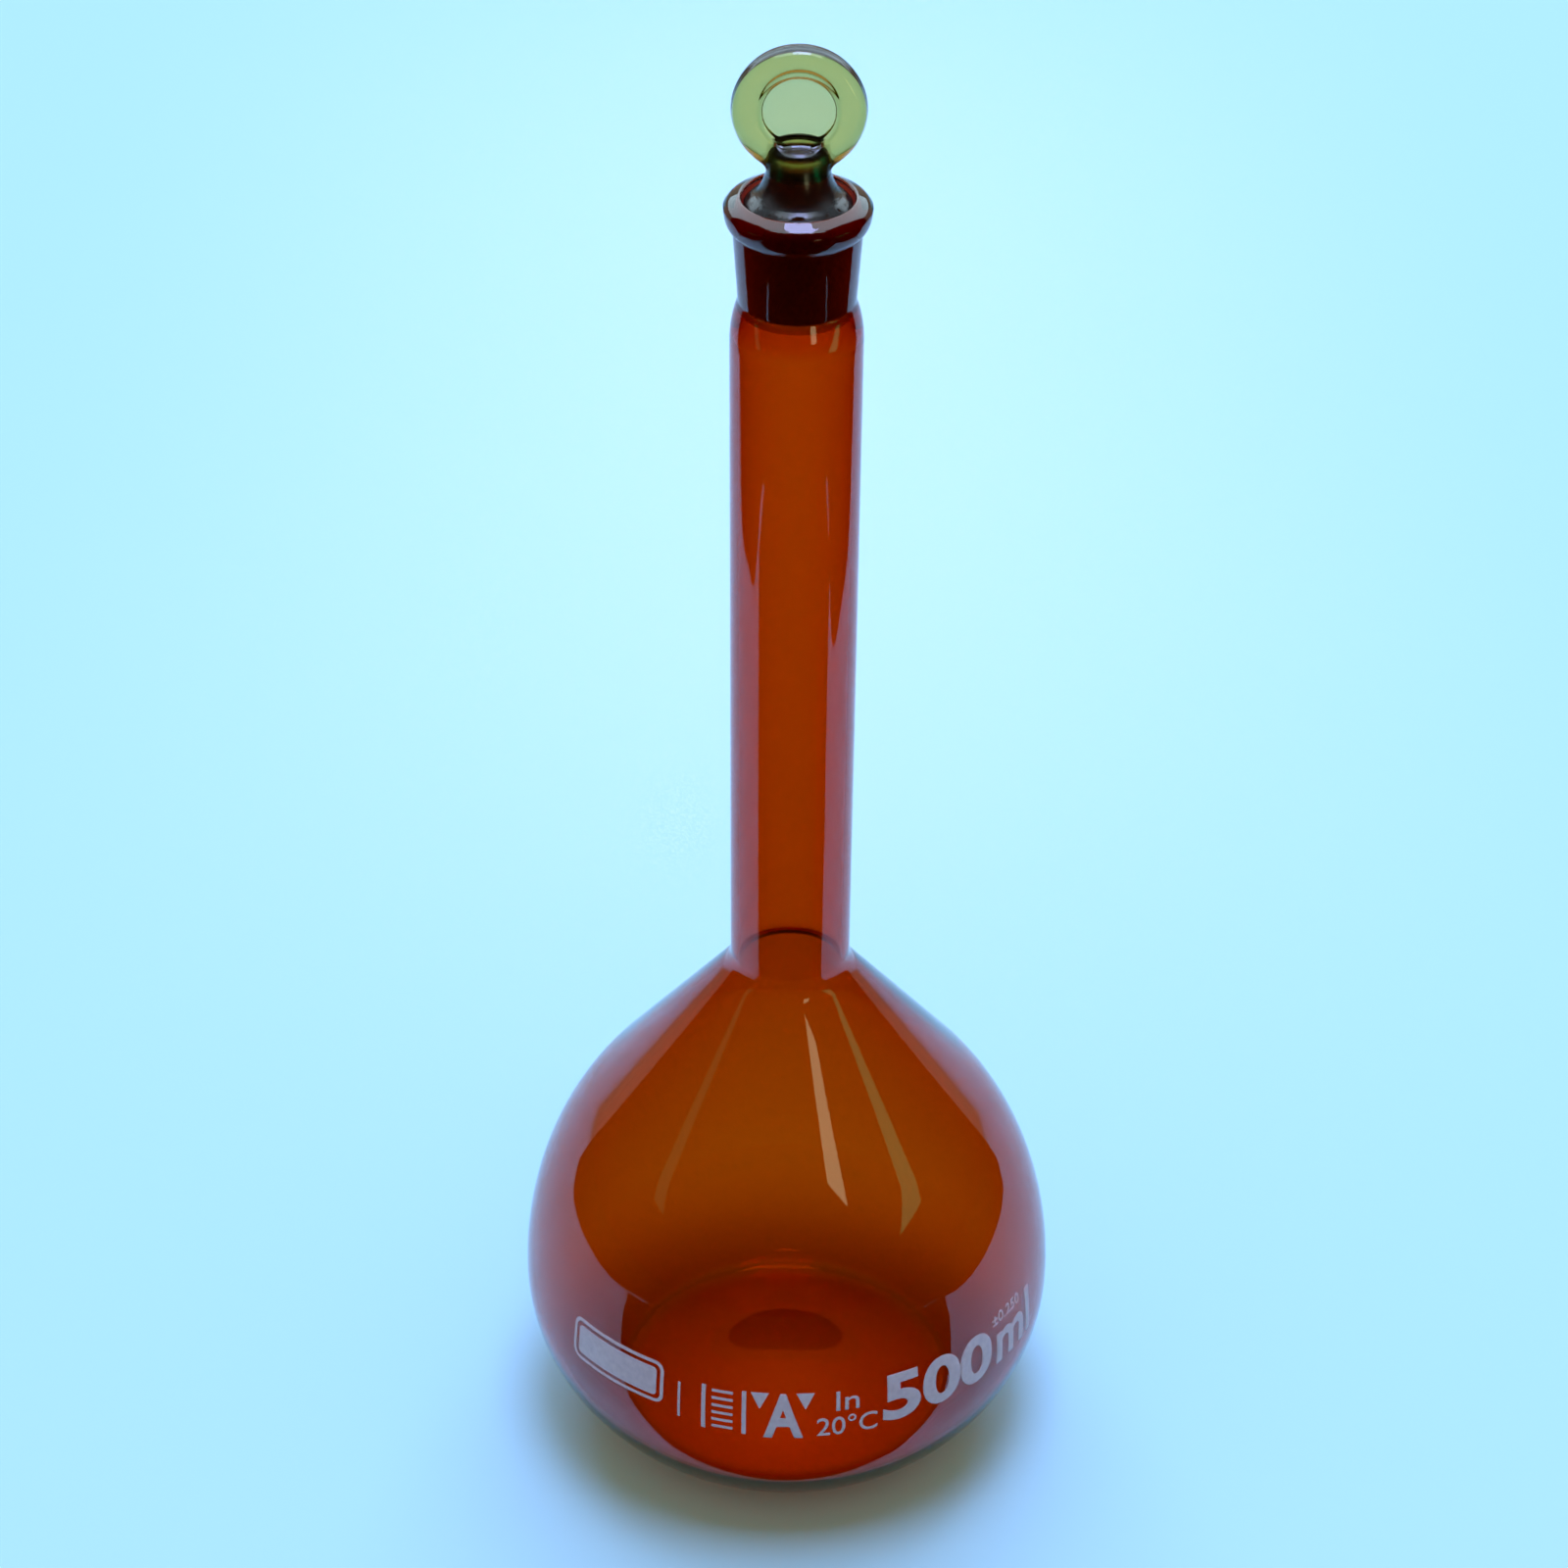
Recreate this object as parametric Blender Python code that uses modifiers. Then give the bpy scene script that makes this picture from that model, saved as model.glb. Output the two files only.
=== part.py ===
"""Volumetric flask for 500 ml: a blown bulb, a neck tube and a ground socket in amber glass,
closed by a solid ground stopper with a flat thumb disc.

Metres, +Z up. The origin is the centre of the base, on the surface that the flask stands on.
"""

import math

import bpy

# Driving dimensions
BULB_RADIUS = 0.0500
BELLY_HEIGHT = 0.0327  # level of the widest circle above the base
LOWER_RISE = 0.0413  # vertical half axis of the ellipse below the belly
UPPER_RISE = 0.0586  # vertical half axis of the ellipse above the belly
SHOULDER_START = math.radians(43.7)  # where that ellipse runs straight into the cone
HEEL_HEIGHT = 0.0015  # height of the rounding between side and foot
FOOT_INNER_RADIUS = 0.0220  # the foot is a flat ring outside this
PUNT_RISE = 0.0020  # how far the middle of the base is pushed up
NECK_FOOT_RADIUS = 0.01090
NECK_TOP_RADIUS = 0.01130
THROAT_FILLET = 0.0060  # between cone and neck
BULB_WALL = 0.0013
BASE_WALL = 0.0022
NECK_WALL = 0.0015
RIM_HEIGHT = 0.2589  # top of the socket's bead
BORE_MOUTH_RADIUS = 0.0094  # large end of the ground joint, size 19
MOUTH_BEVEL = 0.0005  # at the bore's mouth
BORE_SLOPE = 0.05  # 1:10 taper on the diameter
GROUND_LENGTH = 0.0210
SEAM_GAP = 0.0003  # between neighbours that are fused in the real flask
GROUND_GAP = 0.0003  # between plug and socket
PLUG_LENGTH = 0.0190
PLUG_DROP = 0.0012  # of the plug's upper edge below the rim
PLUG_BEVEL = 0.0008  # at both ends of the plug
DISC_HEIGHT = 0.2744  # centre of the thumb disc
DISC_RADIUS = 0.0110
DISC_THICKNESS = 0.0050
DISC_EDGE = 0.0018  # radius of the rounding on the disc's rim
DISC_DISH_RADIUS = 0.0065  # shallow dish in each face
DISC_DISH_DEPTH = 0.0007
POST_RADIUS = 0.0049
POST_FOOT_RISE = 0.0083  # of the post's foot above the rim: below it the post flares into the plug
POST_TOP = 0.2690  # where the post's dome ends, in the disc's lower half

# Levels worked out from them
SEAM_LOW = 0.1085
SEAM_HIGH = 0.2305
SHOULDER_FOOT = SEAM_HIGH + 0.0020
SOCKET_FOOT = 0.2400  # where the socket's outer wall leaves the shoulder
SOCKET_FOOT_RADIUS = 0.00995
BEAD_FOOT = 0.2533
BEAD_FOOT_RADIUS = 0.0109
BEAD_RADIUS = 0.0124
BEAD_LEVEL = 0.2570
LIP_EDGE_RADIUS = 0.0117  # the lip slopes from the mouth down to this circle
LIP_EDGE_LEVEL = 0.2580
PLUG_TOP = RIM_HEIGHT - PLUG_DROP
STEPS = 48  # sides of each turned shape

AMBER = (0.28, 0.055, 0.006, 1.0)
OLIVE = (0.52, 0.62, 0.30, 1.0)


def clear_scene():
    for obj in list(bpy.data.objects):
        bpy.data.objects.remove(obj)


def new_collection(name):
    collection = bpy.data.collections.new(name)
    bpy.context.scene.collection.children.link(collection)
    return collection


def glass(name, colour, roughness):
    material = bpy.data.materials.new(name)
    material.use_nodes = True
    shader = material.node_tree.nodes["Principled BSDF"]
    shader.inputs["Base Color"].default_value = colour
    shader.inputs["Roughness"].default_value = roughness
    shader.inputs["Metallic"].default_value = 0.0
    shader.inputs["IOR"].default_value = 1.47
    shader.inputs["Transmission Weight"].default_value = 1.0
    return material


def arc(centre, half_axes, start, end, count):
    """Points on an ellipse round centre, (radius, height), for angles from start to end."""
    points = []
    for i in range(count + 1):
        angle = start + (end - start) * i / count
        radius = centre[0] + half_axes[0] * math.cos(angle)
        points.append((radius, centre[1] + half_axes[1] * math.sin(angle)))
    return points


def offset_inwards(points, wall):
    """The outline moved towards its inner side by wall(height), for an outline that runs downwards."""
    moved = []
    for i, (radius, height) in enumerate(points):
        before = points[max(i - 1, 0)]
        after = points[min(i + 1, len(points) - 1)]
        along = (after[0] - before[0], after[1] - before[1])
        length = math.hypot(*along)
        thickness = wall(height)
        inner_radius = radius + along[1] / length * thickness
        moved.append((max(inner_radius, 0.0), height - along[0] / length * thickness))
    return moved


def turn(name, outline, closed, collection):
    """Turns an outline of (radius, height) points round Z. Its outer side runs downwards."""
    mesh = bpy.data.meshes.new(name)
    count = len(outline)
    edges = [(i, (i + 1) % count) for i in range(count if closed else count - 1)]
    mesh.from_pydata([(radius, 0.0, height) for radius, height in outline], edges, [])
    obj = bpy.data.objects.new(name, mesh)
    collection.objects.link(obj)
    screw = obj.modifiers.new("Turn", "SCREW")
    screw.steps = STEPS
    screw.render_steps = STEPS
    screw.use_smooth_shade = True
    screw.use_merge_vertices = True
    screw.merge_threshold = 0.00001
    return obj


def base_height(radius):
    """Height of the underside: a flat foot ring, and a shallow dome pushed up inside it."""
    if radius >= FOOT_INNER_RADIUS:
        return 0.0
    return PUNT_RISE * 0.5 * (1.0 + math.cos(math.pi * radius / FOOT_INNER_RADIUS))


def bulb_side():
    """Outer side of the bulb from the seam with the neck down to the foot ring."""
    shoulder_radius = BULB_RADIUS * math.cos(SHOULDER_START)
    shoulder_height = BELLY_HEIGHT + UPPER_RISE * math.sin(SHOULDER_START)
    # The cone goes on along the ellipse's tangent until it meets the neck.
    steepness = UPPER_RISE / (BULB_RADIUS * math.tan(SHOULDER_START))
    corner_height = shoulder_height + (shoulder_radius - NECK_FOOT_RADIUS) * steepness
    lean = math.atan(1.0 / steepness)  # of the cone, from the vertical
    fillet_centre = (
        NECK_FOOT_RADIUS + THROAT_FILLET,
        corner_height + THROAT_FILLET * math.tan(lean / 2),
    )
    heel_angle = math.asin((HEEL_HEIGHT - BELLY_HEIGHT) / LOWER_RISE)
    heel_radius = BULB_RADIUS * math.cos(heel_angle)
    heel_slope = math.atan2(
        LOWER_RISE * math.cos(heel_angle), -BULB_RADIUS * math.sin(heel_angle)
    )
    heel_round = HEEL_HEIGHT / (1.0 - math.cos(heel_slope))
    heel_centre = (heel_radius - heel_round * math.sin(heel_slope), heel_round)
    points = [(NECK_FOOT_RADIUS, SEAM_LOW)]
    fillet_axes = (THROAT_FILLET, THROAT_FILLET)
    points += arc(fillet_centre, fillet_axes, math.pi, math.pi + lean, 4)
    belly = (0.0, BELLY_HEIGHT)
    points += arc(belly, (BULB_RADIUS, UPPER_RISE), SHOULDER_START, 0.0, 7)
    points += arc(belly, (BULB_RADIUS, LOWER_RISE), 0.0, heel_angle, 6)[1:]
    start = heel_slope - math.pi / 2
    points += arc(heel_centre, (heel_round, heel_round), start, -math.pi / 2, 3)[1:]
    return points


def bulb_wall(height):
    """Wall thickness: the glass thickens towards the base."""
    if height > BELLY_HEIGHT:
        return BULB_WALL
    share = 1.0 - height / BELLY_HEIGHT
    return BULB_WALL + (BASE_WALL - BULB_WALL) * share**3


def make_bulb(collection):
    outer = bulb_side()
    inner = offset_inwards(outer, bulb_wall)
    inner[0] = (NECK_FOOT_RADIUS - NECK_WALL, SEAM_LOW)
    floor_radius = inner[-1][0]
    underside = []
    inner_floor = []
    for share in (1.0, 0.75, 0.5, 0.25, 0.0):
        radius = FOOT_INNER_RADIUS * share
        underside.append((radius, base_height(radius)))
        if radius < floor_radius and share < 1.0:
            inner_floor.append((radius, base_height(radius) + BASE_WALL))
    outline = inner_floor[::-1] + inner[::-1] + outer + underside
    return turn("bulb", outline, False, collection)


def make_neck_tube(collection):
    low = SEAM_LOW + SEAM_GAP
    outline = [
        (NECK_TOP_RADIUS, SEAM_HIGH),
        (NECK_FOOT_RADIUS, low),
        (NECK_FOOT_RADIUS - NECK_WALL, low),
        (NECK_TOP_RADIUS - NECK_WALL, SEAM_HIGH),
    ]
    return turn("neck_tube", outline, True, collection)


def bore_radius(height):
    return BORE_MOUTH_RADIUS - BORE_SLOPE * (RIM_HEIGHT - height)


def make_ground_socket(collection):
    low = SEAM_HIGH + SEAM_GAP
    bore_foot = RIM_HEIGHT - GROUND_LENGTH
    # The shoulder is an arc that leaves the neck upright and leans in to the socket's foot.
    drop = NECK_TOP_RADIUS - SOCKET_FOOT_RADIUS
    rise = SOCKET_FOOT - SHOULDER_FOOT
    lean = 2 * math.atan(drop / rise)
    shoulder_round = rise / math.sin(lean)
    shoulder_centre = (NECK_TOP_RADIUS - shoulder_round, SHOULDER_FOOT)
    bead_axes = (BEAD_RADIUS - BEAD_FOOT_RADIUS, BEAD_LEVEL - BEAD_FOOT)
    outline = [
        (BORE_MOUTH_RADIUS, RIM_HEIGHT - MOUTH_BEVEL),
        (BORE_MOUTH_RADIUS + MOUTH_BEVEL, RIM_HEIGHT),
        (LIP_EDGE_RADIUS, LIP_EDGE_LEVEL),
    ]
    outline += arc((BEAD_FOOT_RADIUS, BEAD_LEVEL), bead_axes, 0.0, -math.pi / 2, 4)
    outline.append((SOCKET_FOOT_RADIUS, SOCKET_FOOT))
    shoulder_axes = (shoulder_round, shoulder_round)
    outline += arc(shoulder_centre, shoulder_axes, lean, 0.0, 4)[1:]
    outline.append((NECK_TOP_RADIUS, low))
    outline.append((NECK_TOP_RADIUS - NECK_WALL, low))
    outline.append((bore_radius(bore_foot), bore_foot))
    return turn("ground_socket", outline, True, collection)


def make_thumb_disc(collection):
    """The disc that is joined to the stopper. It stands upright, its faces towards -Y and +Y."""
    half = DISC_THICKNESS / 2
    dish = half - DISC_DISH_DEPTH
    top = [
        (0.0, dish),
        (DISC_DISH_RADIUS, dish),
        (DISC_DISH_RADIUS + DISC_DISH_DEPTH, half),
    ]
    edge_centre = DISC_RADIUS - DISC_EDGE
    top += arc((edge_centre, half - DISC_EDGE), (DISC_EDGE, DISC_EDGE), math.pi / 2, 0.0, 3)
    bottom = [(radius, -height) for radius, height in reversed(top)]
    disc = turn("thumb_disc", top + bottom, False, collection)
    disc.location = (0.0, 0.0, DISC_HEIGHT)
    disc.rotation_euler = (math.pi / 2, 0.0, 0.0)
    disc.hide_render = True
    disc.display_type = "WIRE"
    return disc


def plug_radius(height):
    return bore_radius(height) - GROUND_GAP


def make_stopper(collection, cutters):
    plug_foot = PLUG_TOP - PLUG_LENGTH
    post_foot = RIM_HEIGHT + POST_FOOT_RISE
    top_radius = plug_radius(PLUG_TOP)
    foot_radius = plug_radius(plug_foot)
    flare = (top_radius - POST_RADIUS, post_foot - PLUG_TOP - PLUG_BEVEL)
    outline = arc((0.0, post_foot), (POST_RADIUS, POST_TOP - post_foot), math.pi / 2, 0.0, 5)
    outline += arc((top_radius, post_foot), flare, math.pi, math.pi * 1.5, 4)[1:-1]
    outline += [
        (top_radius - PLUG_BEVEL, PLUG_TOP + PLUG_BEVEL),
        (top_radius, PLUG_TOP),
        (foot_radius, plug_foot + PLUG_BEVEL),
        (foot_radius - PLUG_BEVEL, plug_foot),
        (0.0, plug_foot),
    ]
    stopper = turn("stopper", outline, False, collection)
    join = stopper.modifiers.new("Join disc", "BOOLEAN")
    join.operation = "UNION"
    join.solver = "EXACT"
    join.object = make_thumb_disc(cutters)
    return stopper


def main():
    clear_scene()
    flask = new_collection("volumetric_flask")
    cutters = new_collection("joining_shapes")
    amber = glass("amber_glass", AMBER, 0.03)
    ground = glass("ground_amber_glass", AMBER, 0.12)
    olive = glass("olive_glass", OLIVE, 0.04)
    finishes = (
        (make_bulb(flask), amber),
        (make_neck_tube(flask), amber),
        (make_ground_socket(flask), ground),
        (make_stopper(flask, cutters), olive),
    )
    for obj, material in finishes:
        obj.data.materials.append(material)


main()
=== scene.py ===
"""Looks of a 500 ml volumetric flask in amber glass, closed by a pale olive ground stopper.

Metres, +Z up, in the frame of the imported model.
"""

import math

import bmesh
import bpy
import numpy as np
from mathutils import Matrix, Vector


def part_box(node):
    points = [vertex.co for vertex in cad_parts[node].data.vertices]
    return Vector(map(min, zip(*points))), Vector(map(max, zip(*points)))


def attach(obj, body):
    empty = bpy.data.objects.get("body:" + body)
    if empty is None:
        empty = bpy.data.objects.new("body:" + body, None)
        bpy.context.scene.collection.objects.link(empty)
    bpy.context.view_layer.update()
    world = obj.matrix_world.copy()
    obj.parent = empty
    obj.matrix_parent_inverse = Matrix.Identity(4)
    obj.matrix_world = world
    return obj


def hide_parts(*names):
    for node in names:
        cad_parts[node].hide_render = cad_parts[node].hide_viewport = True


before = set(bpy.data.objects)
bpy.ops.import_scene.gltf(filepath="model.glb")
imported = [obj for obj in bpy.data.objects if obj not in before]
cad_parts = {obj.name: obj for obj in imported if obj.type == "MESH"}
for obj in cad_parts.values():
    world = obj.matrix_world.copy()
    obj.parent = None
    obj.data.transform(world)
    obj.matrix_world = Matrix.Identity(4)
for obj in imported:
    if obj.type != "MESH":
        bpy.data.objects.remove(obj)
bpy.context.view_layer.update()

# Camera
CAMERA_PLACE = (-0.0014, -0.6414, 0.5771)
CAMERA_DOWN = math.radians(34.13)
CAMERA_ROLL = 0.0098
CAMERA_LENS = 99.35

# Flask, outer side
BULB_RADIUS = 0.0500
BELLY_HEIGHT = 0.0327
LOWER_RISE = 0.0413
UPPER_RISE = 0.0586
SHOULDER_START = math.radians(43.7)
HEEL_HEIGHT = 0.0015
FOOT_INNER_RADIUS = 0.0220
PUNT_RISE = 0.0020
NECK_FOOT_RADIUS = 0.01090
NECK_TOP_RADIUS = 0.01130
THROAT_FILLET = 0.0060
NECK_FOOT = 0.1085
SHOULDER_FOOT = 0.2325
SOCKET_FOOT = 0.2400
SOCKET_FOOT_RADIUS = 0.00995
CORNER_FILLET = 0.0003
BEAD_FOOT = 0.2533
BEAD_FOOT_RADIUS = 0.0109
BEAD_RADIUS = 0.0124
BEAD_LEVEL = 0.2570
LIP_EDGE = (0.0117, 0.2580)
LIP_FILLET = 0.0006

# Flask, inner side
BULB_WALL = 0.0013
BASE_WALL = 0.0022
NECK_WALL = 0.0015
THROAT_START = 0.0850  # above it the wall thickens towards the neck's
INNER_CORNER = 0.0026
INNER_PUNT_SHARE = 0.8  # how much of the punt's rise the inner floor follows
BORE_MOUTH_RADIUS = 0.0094
MOUTH_ROUND = 0.0005
BORE_SLOPE = 0.05
BORE_STEP = 0.0045  # length over which the neck's bore narrows to the ground face
BORE_FILLET = 0.0005
GROUND_LENGTH = 0.0210

# Stopper
GROUND_GAP = 0.0003
PLUG_LENGTH = 0.0190
DISC_RADIUS = 0.0110
DISC_THICKNESS = 0.0050
DISC_EDGE = 0.0018
DISC_DISH_RADIUS = 0.0065
DISC_DISH_DEPTH = 0.0007
DISC_DISH_STEP = 0.0007  # width of the slope round the dish
DIMPLE_RADIUS = 0.00035
DIMPLE_PLACE = (-0.0008, 0.0004)  # across and up from the disc's middle
DIMPLE_BLEND = 0.0001
SEAM_RADIUS = 0.00022  # of the moulding line round the disc's edge
SEAM_DEPTH = 0.0001
SEAM_BLEND = 0.0004
POST_RADIUS = 0.0049
POST_BLEND = 0.0016  # fillet between the disc and the post

RIM_HEIGHT = 0.2589
DISC_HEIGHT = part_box("stopper")[1][2] - DISC_RADIUS
PLUG_TOP = RIM_HEIGHT - 0.0012
POST_FOOT = RIM_HEIGHT + 0.0083
POST_TOP = 0.2690
PLUG_ROUND = 0.0008
POST_ROUGHNESS_AND_SHADE = 0.35  # pressed, not polished: between 0, polished, and 1, ground; the darker tint this gives the post is painted shade
DISC_POLISHED_FROM = POST_FOOT - 0.001  # lowest polished level between the disc's two faces
ALL_POLISHED_FROM = POST_TOP + 0.0006

# Meshes
TURNS = 160  # sides of the turned flask
ON_AXIS = 1e-6  # a radius below this is on the axis
LONGEST_STRETCH = 0.0025  # between two points of the flask's outline
LIP_STRETCH = 0.0006
MARK_MARGIN = 0.0002  # slack in telling which points are on a ground face
BLANK_VOXEL = 0.00022
SHAPING_STEPS = 6  # moves that take the blank's points to the stopper's surface
LEAST_SLOPE_SQUARED = 0.2  # where the distance is nearly level, a move is worked out with this
LONGEST_MOVE = 0.0006

# Glass: each is a colour and density of absorption, and the tint of its ground faces
GLASS_IOR = 1.53
POLISHED_ROUGHNESS = 0.012
GROUND_ROUGHNESS = 0.60
AMBER = ((0.939, 0.640, 0.0, 1.0), 2880.0, (0.48, 0.44, 0.46, 1.0))
OLIVE = ((0.835, 0.785, 0.377, 1.0), 600.0, (0.20, 0.18, 0.15, 1.0))
AMBER_WAVES = 60.0  # scale of the soft unevenness of blown glass
OLIVE_WAVES = 150.0
WAVE_STRENGTH = 0.10
WAVE_HEIGHT = 0.0002
WAVE_STRETCH = (1.0, 1.0, 0.25)  # longer along the neck

# Enamel print
PRINT_RISE = 0.00004
PRINT_STEP = 0.0008  # between the cuts that let flat shapes follow the bulb
PRINT_WELD = 0.000001
ENAMEL_DARK = (0.35, 0.29, 0.335, 1.0)
ENAMEL_PALE = (0.54, 0.47, 0.48, 1.0)
ENAMEL_ROUGHNESS = 0.45
ENAMEL_GRAIN = 900.0

# Studio
FLOOR_GAP = 0.0002
FLOOR_HALF = 6.0
FLOOR_COLOUR = (0.43, 0.85, 0.88, 1.0)
LIGHT_COLOUR = (0.56, 0.64, 1.35)
ROOM_COLOUR = (1.0, 0.80, 0.62)
ROOM_STRENGTH = 0.50
WALL_COLOUR = (0.43, 0.87, 1.0, 1.0)
POOL_COLOUR = (1.0, 0.40, 0.30)
FLAG_HEIGHT = 0.80
FLAG_ROUND = 0.030
CEILING_HEIGHT = 2.2
# Painted light: a warm glow on the floor under the bulb, in place of the light the glass gathers
# there
PAINTED_CAUSTIC_COLOUR = (0.40, 0.60, 0.20, 1.0)
PAINTED_CAUSTIC_REACH = 0.045
PAINTED_CAUSTIC_OFFSET = -0.018  # towards the front


# ---------------------------------------------------------------- outlines


def arc(centre, half_axes, start, end, count):
    """Points on an ellipse round centre, (radius, height), for angles from start to end."""
    angles = np.linspace(start, end, count + 1)
    return [
        (centre[0] + half_axes[0] * math.cos(a), centre[1] + half_axes[1] * math.sin(a))
        for a in angles
    ]


def filled(points, longest):
    """The outline with more points on its long stretches: evenly along, and one close to each end."""
    dense = [points[0]]
    for start, end in zip(points, points[1:]):
        length = math.dist(start, end)
        if length > longest:
            count = math.ceil(length / longest)
            shares = [i / count for i in range(1, count)]
            near_end = 0.1 * longest / length
            for share in [near_end, *shares, 1.0 - near_end]:
                dense.append(tuple(a + (b - a) * share for a, b in zip(start, end)))
        dense.append(end)
    return dense


def rounded(points, radius, count):
    """The outline with each inner corner replaced by a curve that starts radius away from it."""
    smooth = [points[0]]
    for before, corner, after in zip(points, points[1:], points[2:]):
        corner_v = Vector(corner)
        first = corner_v + (Vector(before) - corner_v).normalized() * radius
        last = corner_v + (Vector(after) - corner_v).normalized() * radius
        for i in range(count + 1):
            t = i / count
            point = first * (1 - t) ** 2 + corner_v * 2 * t * (1 - t) + last * t**2
            smooth.append(tuple(point))
    smooth.append(points[-1])
    return smooth


def base_height(radius):
    """Underside of the flask: flat on the foot ring and pushed up inside it."""
    if radius >= FOOT_INNER_RADIUS:
        return 0.0
    return PUNT_RISE * 0.5 * (1.0 + math.cos(math.pi * radius / FOOT_INNER_RADIUS))


def bulb_side():
    """Outer side of the bulb from the foot of the neck down to the foot ring."""
    shoulder_radius = BULB_RADIUS * math.cos(SHOULDER_START)
    shoulder_height = BELLY_HEIGHT + UPPER_RISE * math.sin(SHOULDER_START)
    steepness = UPPER_RISE / (BULB_RADIUS * math.tan(SHOULDER_START))
    corner_height = shoulder_height + (shoulder_radius - NECK_FOOT_RADIUS) * steepness
    lean = math.atan(1.0 / steepness)
    fillet_centre = (
        NECK_FOOT_RADIUS + THROAT_FILLET,
        corner_height + THROAT_FILLET * math.tan(lean / 2),
    )
    heel_angle = math.asin((HEEL_HEIGHT - BELLY_HEIGHT) / LOWER_RISE)
    heel_radius = BULB_RADIUS * math.cos(heel_angle)
    heel_slope = math.atan2(
        LOWER_RISE * math.cos(heel_angle), -BULB_RADIUS * math.sin(heel_angle)
    )
    heel_round = HEEL_HEIGHT / (1.0 - math.cos(heel_slope))
    heel_centre = (heel_radius - heel_round * math.sin(heel_slope), heel_round)
    belly = (0.0, BELLY_HEIGHT)
    fillet_axes = (THROAT_FILLET, THROAT_FILLET)
    points = arc(fillet_centre, fillet_axes, math.pi, math.pi + lean, 10)
    points += arc(belly, (BULB_RADIUS, UPPER_RISE), SHOULDER_START, 0.0, 28)
    points += arc(belly, (BULB_RADIUS, LOWER_RISE), 0.0, heel_angle, 28)[1:]
    start = heel_slope - math.pi / 2
    points += arc(heel_centre, (heel_round, heel_round), start, -math.pi / 2, 8)[1:]
    return points


def neck_and_rim():
    """Outer side from the rim's top down to the upper end of the neck."""
    mouth_edge = (BORE_MOUTH_RADIUS + MOUTH_ROUND, RIM_HEIGHT)
    points = rounded([mouth_edge, LIP_EDGE, (BEAD_RADIUS, BEAD_LEVEL)], LIP_FILLET, 8)
    points = filled(points, LIP_STRETCH)
    bead_axes = (BEAD_RADIUS - BEAD_FOOT_RADIUS, BEAD_LEVEL - BEAD_FOOT)
    bead_end = math.radians(-78.0)
    points += arc((BEAD_FOOT_RADIUS, BEAD_LEVEL), bead_axes, 0.0, bead_end, 16)[1:]
    # The shoulder is an arc that leaves the neck upright and leans in to the socket's foot.
    drop = NECK_TOP_RADIUS - SOCKET_FOOT_RADIUS
    rise = SOCKET_FOOT - SHOULDER_FOOT
    lean = 2 * math.atan(drop / rise)
    shoulder_round = rise / math.sin(lean)
    shoulder_centre = (NECK_TOP_RADIUS - shoulder_round, SHOULDER_FOOT)
    shoulder = arc(shoulder_centre, (shoulder_round, shoulder_round), lean, 0.0, 10)
    corners = [points[-1], (BEAD_FOOT_RADIUS, BEAD_FOOT), shoulder[0], shoulder[1]]
    points += rounded(corners, CORNER_FILLET, 6)[1:-1]
    return points + shoulder[1:]


def wall(height):
    """Thickness of the glass at a height on the outer side."""
    if height > BELLY_HEIGHT:
        share = max(0.0, (height - THROAT_START) / (NECK_FOOT - THROAT_START))
        return BULB_WALL + (NECK_WALL - BULB_WALL) * min(share, 1.0)
    share = 1.0 - height / BELLY_HEIGHT
    return BULB_WALL + (BASE_WALL - BULB_WALL) * share**3


def offset_inwards(points):
    """The inner side: each outer point moved in, square to the outline, by the wall there."""
    moved = []
    for i, (radius, height) in enumerate(points):
        before = points[max(i - 1, 0)]
        after = points[min(i + 1, len(points) - 1)]
        along = (after[0] - before[0], after[1] - before[1])
        length = math.hypot(*along)
        thickness = wall(height)
        moved.append(
            (radius + along[1] / length * thickness, height - along[0] / length * thickness)
        )
    return moved


def bore_radius(height):
    return BORE_MOUTH_RADIUS - BORE_SLOPE * (RIM_HEIGHT - height)


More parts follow.
